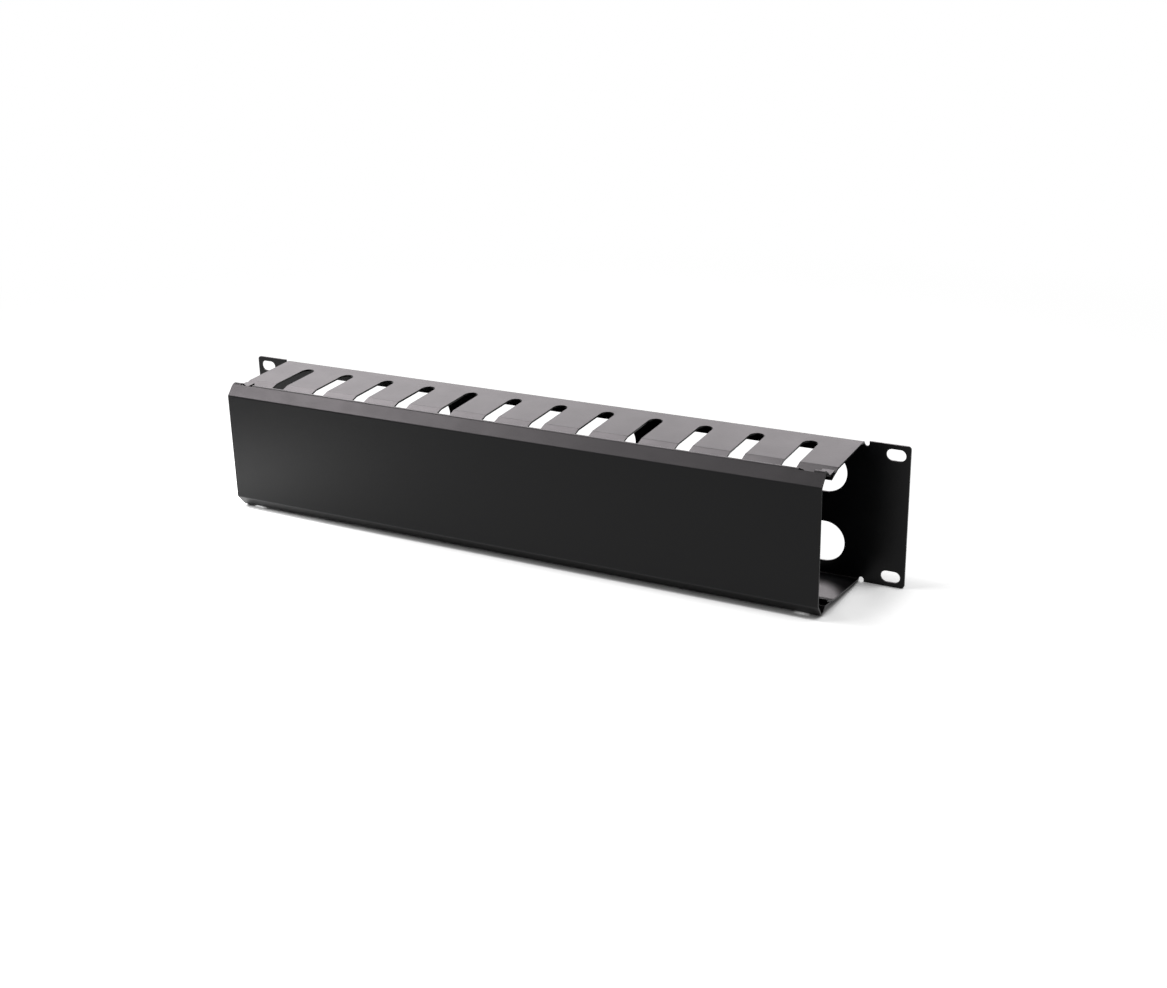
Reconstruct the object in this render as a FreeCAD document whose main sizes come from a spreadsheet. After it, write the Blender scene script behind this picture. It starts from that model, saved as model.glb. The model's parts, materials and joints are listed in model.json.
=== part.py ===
"""Horizontal cable manager, 2U, for a 19-inch rack: a folded sheet channel and its clip-on cover.

Frame, in millimetres: the origin is the centre of the four rack slots, on the rear face of the
ears that bears on the rack posts. X runs along the rack, +Y points back into the rack, so the
channel reaches forward along -Y, and +Z is up.
"""

import FreeCAD, Part
import math
import os
import Sketcher
from FreeCAD import Vector

# Driving sizes: name, value in mm (or a count), what it is on the object.
SIZES = [
    ("panel_width", 482.6, "over the two rack ears, the 19-inch panel"),
    ("panel_height", 88.8, "of the ears and over the folded walls, just under two rack units"),
    ("ear_width", 28.3, "from each open end of the channel to the ear's outer edge"),
    ("channel_sheet", 1.2, "thickness of the channel's steel"),
    ("channel_bend", 1.0, "inside radius of the fold from back to wall"),
    ("lip_bend", 4.0, "inside radius of the gentle fold from wall to lip"),
    ("ear_corner", 2.2, "radius of the ears' outer corners"),
    ("rack_slot_side", 8.75, "from the ear's outer edge to a rack slot's centre: 465.1 between them"),
    ("rack_slot_edge", 6.3, "from the ear's top or bottom edge to that centre: 76.2 between them"),
    ("rack_slot_length", 12.0, "end to end"),
    ("rack_slot_height", 7.0, "across, for an M6 rack screw"),
    ("relief_width", 3.2, "of the notch between wall and ear"),
    ("relief_depth", 3.0, "of that notch, from the ear's edge to its round end"),
    ("wall_depth", 43.7, "from the rear face to the fold of the lip"),
    ("wall_drop", 3.4, "how far a wall has leaned inwards at that fold"),
    ("lip_reach", 10.2, "how much further forward the lip ends"),
    ("lip_drop", 3.6, "how much further inwards the lip ends"),
    ("finger_slots", 12, "number of slots in each wall"),
    ("end_finger", 27.87, "from each open end of the channel to the nearest slot's centre line"),
    ("finger_slot_width", 9.5, "between the straight sides"),
    ("finger_slot_start", 11.6, "from the rear face to the slot's round end"),
    ("finger_tip", 2.5, "radius of each finger's front corners"),
    ("opening_columns", 3, "openings in each row through the back"),
    ("opening_margin", 9.7, "from each open end of the channel to the nearest opening"),
    ("opening_bridge", 15.2, "of back left between two openings in a row"),
    ("row_margin", 9.5, "from the panel's top or bottom edge to the nearest row"),
    ("row_bridge", 19.0, "of back left between the two rows"),
    ("cover_sheet", 1.0, "thickness of the cover's steel"),
    ("cover_bend", 0.8, "inside radius of the cover's folds"),
    ("cover_end_margin", 0.4, "how much each end of the cover is shorter than the channel"),
    ("cover_reach", 13.9, "from the end of the lips to the cover's face"),
    ("cover_gap", 0.25, "between the cover's returns and tabs and the channel they sit on"),
    ("face_inset", 8.4, "from the panel's edge down to the fold of the face"),
    ("bevel_reach", 6.6, "how far back the bevel runs from the face"),
    ("bevel_inset", 0.5, "from the panel's edge down to the crest of the bevel"),
    ("return_seat", 2.0, "how far behind the lip's end the return ends"),
    ("return_margin", 16.6, "from the cover's end to the end of its long return"),
    ("tab_width", 7.1, "of the short tab at each end of a return"),
    ("tab_proud", 0.6, "how far the tab's crest stands above the long crest"),
    ("tab_root", 2.4, "length of bevel that the tab shares with the cover"),
    ("tab_knee", 12.1, "from the face back to the tab's second fold"),
    ("tab_corner", 3.2, "radius of the cover's corners"),
]

ALONG_X = Vector(1, 0, 0)
ALONG_Y = Vector(0, 1, 0)
MATCH = 0.01  # mm within which two places count as the same
OVERCUT = 1.5  # a cut runs this many times as far as the metal that it goes through


class Size:
    """A length worked out from the sheet: its value now, and the expression that keeps it tied."""

    def __init__(self, value, text):
        self.value = value
        self.text = text

    @staticmethod
    def of(other):
        return other if isinstance(other, Size) else Size(float(other), repr(float(other)))

    def __add__(self, other):
        other = Size.of(other)
        return Size(self.value + other.value, f"({self.text} + {other.text})")

    def __sub__(self, other):
        other = Size.of(other)
        return Size(self.value - other.value, f"({self.text} - {other.text})")

    def __mul__(self, other):
        other = Size.of(other)
        return Size(self.value * other.value, f"({self.text} * {other.text})")

    def __truediv__(self, other):
        other = Size.of(other)
        return Size(self.value / other.value, f"({self.text} / {other.text})")

    def __neg__(self):
        return Size(-self.value, f"(0 - {self.text})")


ZERO = Size(0.0, "0.0")


def make_sheet(doc):
    """Put every driving size in the spreadsheet and return them by name."""
    sheet = doc.addObject("Spreadsheet::Sheet", "sizes")
    for row, (name, value, meaning) in enumerate(SIZES, start=1):
        sheet.set(f"A{row}", name)
        sheet.set(f"B{row}", str(value))
        sheet.set(f"C{row}", meaning)
        sheet.setAlias(f"B{row}", name)
    doc.recompute()
    return {name: Size(float(sheet.get(name)), f"<<sizes>>.{name}") for name, _, _ in SIZES}


# ---------------------------------------------------------------- sketches and features


def origin_part(body, role):
    """The body's own origin plane or axis with this role."""
    return next(part for part in body.Origin.OriginFeatures if part.Role == role)


def new_sketch(body, role, name, offset=None):
    """A sketch on one of the body's origin planes, moved out along its normal by an offset."""
    sketch = body.newObject("Sketcher::SketchObject", name)
    sketch.AttachmentSupport = [(origin_part(body, role), "")]
    sketch.MapMode = "FlatFace"
    if offset is not None:
        sketch.setExpression("AttachmentOffset.Base.z", offset.text)
    body.Document.recompute()
    return sketch


def pin(sketch, kind, geometry, point, size):
    """Hold one point at a signed distance from the sketch's origin, tied to the sheet."""
    number = sketch.addConstraint(Sketcher.Constraint(kind, -1, 1, geometry, point, size.value))
    sketch.setExpression(f"Constraints[{number}]", size.text)


def closed_outline(sketch, corners, arcs=()):
    """Draw a closed outline through the corners, each held at its place.

    arcs maps the number of a corner to the centre of the arc that leaves it, and whether the arc
    turns anticlockwise. All other sides are straight.
    """
    arcs = dict(arcs)
    sides = []
    for i, start in enumerate(corners):
        end = corners[(i + 1) % len(corners)]
        first = Vector(start[0].value, start[1].value, 0)
        last = Vector(end[0].value, end[1].value, 0)
        if i in arcs:
            centre, anticlockwise = arcs[i]
            middle = Vector(centre[0].value, centre[1].value, 0)
            circle = Part.Circle(middle, Vector(0, 0, 1), (first - middle).Length)
            ends = (first, last) if anticlockwise else (last, first)
            angles = [math.atan2(p.y - middle.y, p.x - middle.x) for p in ends]
            side = sketch.addGeometry(Part.ArcOfCircle(circle, *angles))
            sides.append((side, 1, 2) if anticlockwise else (side, 2, 1))
        else:
            side = sketch.addGeometry(Part.LineSegment(first, last))
            sides.append((side, 1, 2))
    for i, (side, _, finish) in enumerate(sides):
        following, start, _ = sides[(i + 1) % len(sides)]
        sketch.addConstraint(Sketcher.Constraint("Coincident", side, finish, following, start))
    for (side, start, _), corner in zip(sides, corners):
        pin(sketch, "DistanceX", side, start, corner[0])
        pin(sketch, "DistanceY", side, start, corner[1])
    for i, (centre, _) in arcs.items():
        start, end = corners[i], corners[(i + 1) % len(corners)]
        run = abs(end[0].value - start[0].value)
        rise = abs(end[1].value - start[1].value)
        if run > rise:
            pin(sketch, "DistanceY", sides[i][0], 3, centre[1])
        else:
            pin(sketch, "DistanceX", sides[i][0], 3, centre[0])


def obround(sketch, centre_x, centre_y, length, width):
    """A slot outline with round ends, lying along the sketch's X."""
    radius = width / 2
    left = centre_x - length / 2 + radius
    right = centre_x + length / 2 - radius
    low = centre_y - radius
    high = centre_y + radius
    corners = [(left, low), (right, low), (right, high), (left, high)]
    arcs = {1: ((right, centre_y), True), 3: ((left, centre_y), True)}
    closed_outline(sketch, corners, arcs)


def folded_section(sketch, fold_points, sheet, inside):
    """The section of a folded sheet: its outer skin through the fold points, and an inner skin
    parallel to it one sheet away, on the left (inside=1) or the right (inside=-1)."""
    points = [Vector(y.value, z.value, 0) for y, z in fold_points]
    normals = []
    for a, b in zip(points, points[1:]):
        run = (b - a).normalize()
        normals.append(Vector(-run.y, run.x, 0) * inside)
    inner = [points[0] + normals[0] * sheet.value]
    for corner, before, after in zip(points[1:], normals, normals[1:]):
        both = before + after
        inner.append(corner + both * (2 * sheet.value / both.dot(both)))
    inner.append(points[-1] + normals[-1] * sheet.value)

    loop = points + inner[::-1]
    lines = []
    for i, start in enumerate(loop):
        lines.append(sketch.addGeometry(Part.LineSegment(start, loop[(i + 1) % len(loop)])))
    for i, line in enumerate(lines):
        sketch.addConstraint(Sketcher.Constraint("Coincident", line, 2, lines[(i + 1) % len(lines)], 1))
    for line, (y, z) in zip(lines, fold_points[:-1]):
        pin(sketch, "DistanceX", line, 1, y)
        pin(sketch, "DistanceY", line, 1, z)
    last_outer = len(fold_points) - 2
    pin(sketch, "DistanceX", lines[last_outer], 2, fold_points[-1][0])
    pin(sketch, "DistanceY", lines[last_outer], 2, fold_points[-1][1])
    for i in range(last_outer + 1):
        skin = lines[2 * last_outer + 2 - i]
        sketch.addConstraint(Sketcher.Constraint("Parallel", lines[i], skin))
        gap = sketch.addConstraint(Sketcher.Constraint("Distance", skin, 1, lines[i], sheet.value))
        sketch.setExpression(f"Constraints[{gap}]", sheet.text)
    sketch.addConstraint(Sketcher.Constraint("Perpendicular", lines[last_outer], lines[last_outer + 1]))
    sketch.addConstraint(Sketcher.Constraint("Perpendicular", lines[0], lines[-1]))


def fold_corners(sketch, folds):
    """Where the solved section has its outer and its inner fold corners, as (outer, inner)."""
    lines = sketch.GeometryCount
    outer = [sketch.getPoint(i, 1) for i in range(1, folds + 1)]
    inner = [sketch.getPoint(lines - 1 - i, 1) for i in range(1, folds + 1)]
    return outer, inner


def pad(body, sketch, length, name, midplane=False):
    feature = body.newObject("PartDesign::Pad", name)
    feature.Profile = sketch
    feature.Midplane = midplane
    feature.setExpression("Length", length.text)
    sketch.Visibility = False
    body.Document.recompute()
    return feature


def pocket(body, sketch, reach, name):
    """Cut the sketch right through metal that lies within reach of its plane, on both sides, and
    make sure that it cut something."""
    before = body.Tip.Shape.Volume
    feature = body.newObject("PartDesign::Pocket", name)
    feature.Profile = sketch
    feature.Midplane = True
    feature.setExpression("Length", (reach * 2 * OVERCUT).text)
    sketch.Visibility = False
    body.Document.recompute()
    if feature.Shape.Volume > before - MATCH:
        raise ValueError(f"{name} cut nothing")
    return feature


def row_along_x(body, feature, count, pitch, name):
    """Repeat a feature along X."""
    pattern = body.newObject("PartDesign::LinearPattern", name)
    pattern.Originals = [feature]
    pattern.Direction = (origin_part(body, "X_Axis"), [""])
    pattern.setExpression("Length", (pitch * (count - 1)).text)
    pattern.setExpression("Occurrences", count.text)
    body.Tip = pattern
    body.Document.recompute()
    return pattern


def round_edges(body, radius, name, chosen):
    """Fillet the edges of the body for which chosen(edge) is true."""
    base = body.Tip
    names = [f"Edge{i}" for i, edge in enumerate(base.Shape.Edges, start=1) if chosen(edge)]
    if not names:
        raise ValueError(f"{name} found no edges")
    feature = body.newObject("PartDesign::Fillet", name)
    feature.Base = (base, names)
    feature.setExpression("Radius", radius.text)
    body.Document.recompute()
    return feature


def runs_along(edge, direction):
    return len(edge.Vertexes) == 2 and abs(edge.tangentAt(edge.FirstParameter).dot(direction)) > 1 - 1e-6


def on_fold(points, reach=None):
    """A test for edges along X at one of the section's points, only beyond reach from the middle
    if a reach is given."""

    def chosen(edge):
        if not runs_along(edge, ALONG_X):
            return False
        middle = edge.CenterOfMass
        if reach is not None and abs(middle.x) < reach:
            return False
        return any(math.hypot(middle.y - p.x, middle.z - p.y) < MATCH for p in points)

    return chosen


# ---------------------------------------------------------------- places that both parts share


def channel_width(s):
    """Width of the folded channel between its open ends."""
    return s["panel_width"] - s["ear_width"] * 2


def cover_end(s):
    """Distance from the middle to each end of the cover."""
    return channel_width(s) / 2 - s["cover_end_margin"]


def lip_end(s):
    """Depth and height of the outer corner at the end of the upper lip."""
    depth = s["wall_depth"] + s["lip_reach"]
    height = s["panel_height"] / 2 - s["wall_drop"] - s["lip_drop"]
    return depth, height


def lip_height_at(s, behind):
    """Height of the lip's outer face, this far behind the lip's end."""
    return lip_end(s)[1] + behind * s["lip_drop"] / s["lip_reach"]


def wall_height_at(s, depth):
    """Height of the wall's outer plane at this depth, carried on past the fold of the lip."""
    return s["panel_height"] / 2 - depth * s["wall_drop"] / s["wall_depth"]


# ---------------------------------------------------------------- the channel


def channel_section(body, s):
    """Back, walls and lips: one sheet folded four times, and its rounded folds."""
    half = s["panel_height"] / 2
    end_depth, end_height = lip_end(s)
    upper = [
        (ZERO, half),
        (-s["wall_depth"], half - s["wall_drop"]),
        (-end_depth, end_height),
    ]
    lower = [(y, -z) for y, z in reversed(upper)]
    sketch = new_sketch(body, "YZ_Plane", "channel_section")
    folded_section(sketch, lower + upper, s["channel_sheet"], inside=1)
    pad(body, sketch, channel_width(s), "folded_channel", midplane=True)
    outer, inner = fold_corners(sketch, folds=4)
    lips_outer, lips_inner = (outer[0], outer[3]), (inner[0], inner[3])
    walls_outer, walls_inner = outer[1:3], inner[1:3]
    sheet = s["channel_sheet"]
    round_edges(body, s["lip_bend"] + sheet, "lip_folds_outside", on_fold(lips_outer))
    round_edges(body, s["lip_bend"], "lip_folds_inside", on_fold(lips_inner))
    round_edges(body, s["channel_bend"] + sheet, "wall_folds_outside", on_fold(walls_outer))
    round_edges(body, s["channel_bend"], "wall_folds_inside", on_fold(walls_inner))


def rack_ears(body, s):
    """The flat ears at both ends, their relief notches at the walls, and the four rack slots."""
    half_height = s["panel_height"] / 2
    root = channel_width(s) / 2
    tip = s["panel_width"] / 2
    slot_x = tip - s["rack_slot_side"]
    slot_z = half_height - s["rack_slot_edge"]
    ears = new_sketch(body, "XZ_Plane", "ear_outlines")
    reliefs = new_sketch(body, "XZ_Plane", "relief_notches")
    slots = new_sketch(body, "XZ_Plane", "rack_slots")
    radius = s["relief_width"] / 2
    for side in (1, -1):
        near, far = root * side, tip * side
        ends = sorted((near, far), key=lambda place: place.value)
        closed_outline(ears, [(ends[0], -half_height), (ends[1], -half_height),
                              (ends[1], half_height), (ends[0], half_height)])
        for up in (1, -1):
            inner_end = (half_height - s["relief_depth"] + radius) * up
            outer_end = (half_height + s["relief_depth"]) * up
            centre = (root + radius) * side
            left, right = centre - radius, centre + radius
            corners = [(left, inner_end), (right, inner_end), (right, outer_end), (left, outer_end)]
            closed_outline(reliefs, corners, {0: ((centre, inner_end), up == 1)})
            obround(slots, slot_x * side, slot_z * up, s["rack_slot_length"], s["rack_slot_height"])
    sheet = s["channel_sheet"]
    pad(body, ears, sheet, "rack_ears")
    pocket(body, reliefs, s["channel_bend"] + sheet, "relief_cuts")
    pocket(body, slots, sheet, "rack_slot_cuts")

    def at_corner(edge):
        middle = edge.CenterOfMass
        return (runs_along(edge, ALONG_Y) and abs(abs(middle.x) - tip.value) < MATCH
                and abs(abs(middle.z) - half_height.value) < MATCH)

    round_edges(body, s["ear_corner"], "ear_corners", at_corner)


def back_openings(body, s):
    """Two rows of long round-ended openings, for cables that pass through to the rack."""
    columns = s["opening_columns"]
    bridges = s["opening_bridge"] * (columns - 1)
    length = (channel_width(s) - s["opening_margin"] * 2 - bridges) / columns
    height = (s["panel_height"] - s["row_margin"] * 2 - s["row_bridge"]) / 2
    row = (s["row_bridge"] + height) / 2
    first = -channel_width(s) / 2 + s["opening_margin"] + length / 2
    sketch = new_sketch(body, "XZ_Plane", "first_openings")
    for up in (1, -1):
        obround(sketch, first, row * up, length, height)
    cut = pocket(body, sketch, s["channel_sheet"], "first_opening_cuts")
    row_along_x(body, cut, columns, length + s["opening_bridge"], "opening_rows")


def finger_slots(body, s):
    """Open slots that turn both walls into fingers, with the fingers' front corners rounded."""
    sketch = new_sketch(body, "XY_Plane", "first_slot")
    middle = -channel_width(s) / 2 + s["end_finger"]
    pitch = -middle * 2 / (s["finger_slots"] - 1)
    radius = s["finger_slot_width"] / 2
    tip = s["finger_tip"]
    bottom = -(s["finger_slot_start"] + radius)
    mouth = -lip_end(s)[0]
    beyond = mouth - tip
    left, right = middle - radius, middle + radius
    corners = [
        (left, bottom), (left, mouth + tip), (left - tip, mouth), (left - tip, beyond),
        (right + tip, beyond), (right + tip, mouth), (right, mouth + tip), (right, bottom),
    ]
    arcs = {
        1: ((left - tip, mouth + tip), False),
        5: ((right + tip, mouth + tip), False),
        7: ((middle, bottom), True),
    }
    closed_outline(sketch, corners, arcs)
    cut = pocket(body, sketch, s["panel_height"] / 2, "first_slot_cut")
    row_along_x(body, cut, s["finger_slots"], pitch, "finger_slot_rows")


def base_channel(doc, s):
    body = doc.addObject("PartDesign::Body", "base_channel")
    channel_section(body, s)
    rack_ears(body, s)
    back_openings(body, s)
    finger_slots(body, s)
    return body


# ---------------------------------------------------------------- the cover


def cover_points(s):
    """Depths and heights of the cover's upper folds: the face, the crest and the return's end."""
    face_depth = lip_end(s)[0] + s["cover_reach"]
    face = (face_depth, s["panel_height"] / 2 - s["face_inset"])
    crest = (face_depth - s["bevel_reach"], s["panel_height"] / 2 - s["bevel_inset"])
    end_height = lip_height_at(s, s["return_seat"]) + s["cover_sheet"] + s["cover_gap"]
    end = (lip_end(s)[0] - s["return_seat"], end_height)
    return face, crest, end


def cover_section(body, s):
    """Face, bevels and long returns: one sheet folded four times."""
    upper = [(-depth, height) for depth, height in cover_points(s)]
    lower = [(y, -z) for y, z in reversed(upper)]
    sketch = new_sketch(body, "YZ_Plane", "cover_section")
    folded_section(sketch, lower + upper, s["cover_sheet"], inside=-1)
    pad(body, sketch, cover_end(s) * 2, "folded_cover", midplane=True)
    outer, inner = fold_corners(sketch, folds=4)
    round_edges(body, s["cover_bend"] + s["cover_sheet"], "cover_folds_outside", on_fold(outer))
    round_edges(body, s["cover_bend"], "cover_folds_inside", on_fold(inner))


def end_relief(body, s):
    """Cut the long returns short at both ends, so that the end tabs can flex by themselves."""
    crest_depth = cover_points(s)[1][0]
    end = cover_end(s)
    start = end - s["return_margin"]
    front = -(crest_depth + s["cover_sheet"] / 2)
    back = front + s["wall_depth"]
    sketch = new_sketch(body, "XY_Plane", "return_trims")
    for side in (1, -1):
        ends = sorted((start * side, (end + s["tab_width"]) * side), key=lambda place: place.value)
        closed_outline(sketch, [(ends[0], front), (ends[1], front), (ends[1], back), (ends[0], back)])
    pocket(body, sketch, s["panel_height"] / 2, "return_trim_cuts")


def end_tabs(body, s):
    """A short springy tab at each end of each bevel, folded back flush with the channel's wall."""
    face, crest, _ = cover_points(s)
    rise = crest[1] - face[1]
    grade = rise / s["bevel_reach"]
    root_depth = crest[0] + s["tab_root"]
    root = (root_depth, crest[1] - s["tab_root"] * grade)
    tip = (crest[0] - s["tab_proud"] / grade, crest[1] + s["tab_proud"])
    knee_depth = face[0] - s["tab_knee"]
    knee = (knee_depth, wall_height_at(s, knee_depth))
    # The tab ends where the sloping lip has dropped a sheet and a gap below the wall's plane.
    lean = s["wall_drop"] / s["wall_depth"]
    foot_depth = s["wall_depth"] + (s["cover_sheet"] + s["cover_gap"]) / (
        s["lip_drop"] / s["lip_reach"] - lean)
    foot = (foot_depth, wall_height_at(s, foot_depth))
    start = cover_end(s) - s["tab_width"]
    sketch = new_sketch(body, "YZ_Plane", "tab_section", offset=start)
    upper = [(-depth, height) for depth, height in (root, tip, knee, foot)]
    lower = [(y, -z) for y, z in upper]
    folds = []
    for points, inside in ((upper, -1), (lower, 1)):
        first = sketch.GeometryCount
        folded_section(sketch, points, s["cover_sheet"], inside=inside)
        last = sketch.GeometryCount - 1
        folds.append(([sketch.getPoint(first + i, 1) for i in (1, 2)],
                      [sketch.getPoint(last - i, 1) for i in (1, 2)]))
    tabs = pad(body, sketch, s["tab_width"], "right_tabs")
    both = body.newObject("PartDesign::Mirrored", "tabs_both_ends")
    both.Originals = [tabs]
    both.MirrorPlane = (origin_part(body, "YZ_Plane"), [""])
    body.Tip = both
    body.Document.recompute()
    outer = folds[0][0] + folds[1][0]
    inner = folds[0][1] + folds[1][1]
    reach = start.value - MATCH
    round_edges(body, s["cover_bend"] + s["cover_sheet"], "tab_folds_outside", on_fold(outer, reach))
    round_edges(body, s["cover_bend"], "tab_folds_inside", on_fold(inner, reach))


def rounded_corners(body, s):
    """Round the four corners of the cover, seen from the front."""
    end = cover_end(s)
    top = s["panel_height"] / 2 - s["bevel_inset"] + s["tab_proud"]
    radius = s["tab_corner"]
    beyond = radius
    sketch = new_sketch(body, "XZ_Plane", "corner_trims")
    for side in (1, -1):
        for up in (1, -1):
            corners = [
                ((end - radius) * side, top * up), (end * side, (top - radius) * up),
                ((end + beyond) * side, (top - radius) * up),
                ((end + beyond) * side, (top + beyond) * up), ((end - radius) * side, (top + beyond) * up),
            ]
            centre = ((end - radius) * side, (top - radius) * up)
            closed_outline(sketch, corners, {0: (centre, side != up)})
    pocket(body, sketch, lip_end(s)[0] + s["cover_reach"], "corner_cuts")


def front_cover(doc, s):
    body = doc.addObject("PartDesign::Body", "front_cover")
    cover_section(body, s)
    end_relief(body, s)
    end_tabs(body, s)
    rounded_corners(body, s)
    return body


# ---------------------------------------------------------------- build, check and write


def check(doc, bodies):
    """Stop if any object failed or any body is not one sound solid."""
    for thing in doc.Objects:
        if "Invalid" in thing.State or "Error" in thing.State:
            raise ValueError(f"{thing.Name} failed: {thing.State}")
    for body in bodies:
        shape = body.Shape
        if shape.isNull() or not shape.isValid() or len(shape.Solids) != 1:
            raise ValueError(f"{body.Label} is not one valid solid")


def main():
    doc = FreeCAD.newDocument("cable_manager")
    sizes = make_sheet(doc)
    bodies = [base_channel(doc, sizes), front_cover(doc, sizes)]
    doc.recompute()
    check(doc, bodies)
    os.makedirs("parts", exist_ok=True)
    for body in bodies:
        body.Shape.exportStep(f"parts/{body.Label}.step")
        box = body.Shape.BoundBox
        print(f"{body.Label}: {body.Shape.Volume:.0f} mm3, {box.XLength:.1f} x {box.YLength:.1f} x "
              f"{box.ZLength:.1f} mm, y {box.YMin:.2f} to {box.YMax:.2f}")


main()
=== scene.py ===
# %% [markdown]
# # A horizontal cable manager for a rack
#
# The real object is two pieces of thin sheet steel. A channel carries the cables, and a cover
# clips over its front. Both were punched from flat sheet, folded on a press brake and powder
# coated black. This file makes them the same way: each sheet starts flat, is punched flat, and
# is folded afterwards.

# %% Load the model
import json
import math

import bpy
from mathutils import Matrix, Vector

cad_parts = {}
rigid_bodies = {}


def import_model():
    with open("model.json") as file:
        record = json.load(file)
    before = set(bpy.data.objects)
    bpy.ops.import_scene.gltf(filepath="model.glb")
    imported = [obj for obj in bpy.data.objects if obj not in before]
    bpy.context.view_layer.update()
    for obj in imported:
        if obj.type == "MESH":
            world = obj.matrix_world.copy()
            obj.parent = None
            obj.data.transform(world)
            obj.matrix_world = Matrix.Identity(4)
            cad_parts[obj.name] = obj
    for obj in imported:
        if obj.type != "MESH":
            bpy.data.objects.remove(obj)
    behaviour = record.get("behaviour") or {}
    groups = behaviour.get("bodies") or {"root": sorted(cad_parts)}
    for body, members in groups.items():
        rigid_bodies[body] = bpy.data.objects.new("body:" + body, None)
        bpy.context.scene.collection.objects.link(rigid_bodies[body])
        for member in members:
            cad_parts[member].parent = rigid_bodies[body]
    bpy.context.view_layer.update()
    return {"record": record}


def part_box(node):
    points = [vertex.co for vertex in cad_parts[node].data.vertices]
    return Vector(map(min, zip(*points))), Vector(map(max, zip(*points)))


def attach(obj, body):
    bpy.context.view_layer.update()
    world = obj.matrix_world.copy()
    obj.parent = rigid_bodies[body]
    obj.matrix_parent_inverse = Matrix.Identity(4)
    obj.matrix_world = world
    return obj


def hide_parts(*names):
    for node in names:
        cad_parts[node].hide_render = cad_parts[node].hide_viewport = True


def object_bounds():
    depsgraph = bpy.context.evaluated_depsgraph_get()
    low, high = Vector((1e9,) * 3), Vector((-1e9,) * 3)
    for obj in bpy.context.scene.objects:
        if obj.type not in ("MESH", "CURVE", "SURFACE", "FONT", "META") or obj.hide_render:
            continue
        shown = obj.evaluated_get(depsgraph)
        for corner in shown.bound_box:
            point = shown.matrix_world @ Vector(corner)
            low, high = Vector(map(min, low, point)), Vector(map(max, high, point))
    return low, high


for thing in list(bpy.data.objects):
    bpy.data.objects.remove(thing)
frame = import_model()
MM = 0.001

# %% [markdown]
# ## Sizes
#
# A maker writes down a folded part as its sheet thickness, its bend radii and the corner points
# of its section. The section runs from the back of the rack (Y = 0) towards the viewer (-Y).
# Overall sizes are read from the model, so the two can't drift apart. The rest are the sizes
# that give the piece its character: how far the walls lean, where the lips fold, how the slots
# are spaced.

# %% Sizes of the channel, in millimetres
channel_low, channel_high = (Vector(corner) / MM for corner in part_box("base_channel"))
cover_low, cover_high = (Vector(corner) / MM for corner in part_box("front_cover"))
PANEL_WIDTH = channel_high.x - channel_low.x
HALF_HEIGHT = channel_high.z
LIP_DEPTH = -channel_low.y
rack_slots = frame["record"]["mounts"][0]["dims"]

CHANNEL_SHEET = 1.2
CHANNEL_BEND = 1.0
LIP_BEND = 4.0
CHANNEL_WIDTH = 426.0
WALL_DEPTH, WALL_DROP = 43.7, 3.4
LIP_DROP = 3.6
FINGER_SLOTS, FINGER_PITCH = 12, 33.66
FINGER_SLOT_WIDTH, FINGER_SLOT_START, FINGER_TIP = 9.5, 11.6, 2.5
OPENING_LENGTH, OPENING_HEIGHT = 125.4, 25.4
OPENING_PITCH, OPENING_ROW = 140.6, 22.2
NOTCH_WIDTH, NOTCH_DEPTH, EAR_CORNER = 3.2, 3.0, 2.2
print(f"panel {PANEL_WIDTH:.1f} x {2 * HALF_HEIGHT:.1f} mm, {LIP_DEPTH:.1f} mm deep")

# %% Sizes of the cover, in millimetres
COVER_SHEET = 1.0
COVER_BEND = 0.8
COVER_END = cover_high.x
FACE_DEPTH = -cover_low.y
FACE_HEIGHT = 36.0  # from the middle of the face up to its fold
# Corners of the cover's section and of its tabs' section are given as depth and height.
CREST = (FACE_DEPTH - 6.6, 43.9)
RETURN_END = (LIP_DEPTH - 2.0, 39.36)
RETURN_STOP = COVER_END - 16.6  # where the long return ends and the notch starts
TAB_START = COVER_END - 7.1
TAB_TIP = (CREST[0] - 0.5, 44.5)
TAB_KNEE = (FACE_DEPTH - 12.1, 40.07)
TAB_FOOT = (48.24, 40.65)
COVER_CORNER = 3.2
print(f"cover {2 * COVER_END:.1f} mm long, {FACE_DEPTH - LIP_DEPTH:.1f} mm in front of the lips")

# %% [markdown]
# ## From a section to a flat blank
#
# A folded sheet keeps its length along the middle of its thickness. So the section is drawn
# once as the outer skin that a ruler would touch, and moved inwards by half a sheet. A fold
# takes a short cut round each corner: with radius r and turn a, the arc is r*a long where the
# sharp corner would take 2*r*tan(a/2). Taking that off gives the length of the flat blank, and
# tells where a slot must be punched so that it lands right once the sheet is folded.


# %% Work out the middle line of a sheet
def middle_line(skin, offset):
    """The line parallel to a skin of (y, z) corner points, moved to its right by an offset."""
    points = [Vector(p) for p in skin]
    sides = []
    for a, b in zip(points, points[1:]):
        run = (b - a).normalized()
        sides.append(Vector((run.y, -run.x)) * offset)
    inner = [points[0] + sides[0]]
    for corner, before, after in zip(points[1:], sides, sides[1:]):
        both = before + after
        inner.append(corner + both * (2 * offset ** 2 / both.length_squared))
    inner.append(points[-1] + sides[-1])
    return [tuple(p) for p in inner]


def upper_half(skin, offset, middle_depth):
    """Middle line of the upper half of a section, starting at half its height."""
    return [(middle_depth, 0.0)] + middle_line(skin, offset)[1:]


def fold_angle(line, i):
    """The angle by which a line turns at its point number i."""
    before = Vector(line[i]) - Vector(line[i - 1])
    after = Vector(line[i + 1]) - Vector(line[i])
    return before.angle(after)


def fold_saving(radius, turn):
    """How much shorter the arc of a fold is than the two sharp legs that it replaces."""
    return radius * (2 * math.tan(turn / 2) - turn)


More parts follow.
